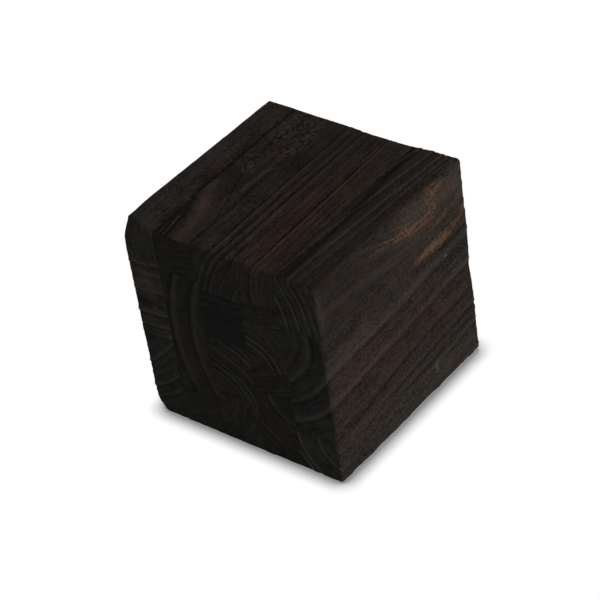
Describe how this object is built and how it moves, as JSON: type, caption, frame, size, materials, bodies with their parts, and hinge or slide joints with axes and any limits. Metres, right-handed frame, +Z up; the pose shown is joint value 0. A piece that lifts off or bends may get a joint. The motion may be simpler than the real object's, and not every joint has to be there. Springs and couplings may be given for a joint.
{
  "type": "glued wooden cube",
  "caption": "Solid cube glued up from staves of near-black brushed softwood, with ridged long-grain faces and a patchwork of growth rings on its two end-grain faces.",
  "frame": {"origin": "middle of the underside", "axes": "+Z up; Y along the grain, with the front end-grain face towards -Y; +X towards the side of the fifth lamella"},
  "size_m": [0.1, 0.1, 0.1],
  "materials": {
    "dark_stave": "near-black brown stain on brushed softwood, dull satin on the ridges",
    "black_stave": "the deepest black stain, matt, hardly any figure",
    "brown_stave": "dark brown stain with rust-brown streaks, soft sheen on the ridges"
  },
  "bodies": {
    "root": {"stave_1_top": "dark_stave", "stave_1_middle": "dark_stave", "stave_1_bottom": "dark_stave", "stave_2_top": "dark_stave", "stave_2_middle": "brown_stave", "stave_2_bottom": "black_stave", "stave_3_top": "dark_stave", "stave_3_upper": "black_stave", "stave_3_lower": "dark_stave", "stave_3_bottom": "dark_stave", "stave_4_top": "dark_stave", "stave_4_upper": "black_stave", "stave_4_middle": "dark_stave", "stave_4_lower": "black_stave", "stave_4_bottom": "dark_stave", "stave_5_top": "brown_stave", "stave_5_middle": "brown_stave", "stave_5_bottom": "brown_stave"}
  },
  "joints": []
}
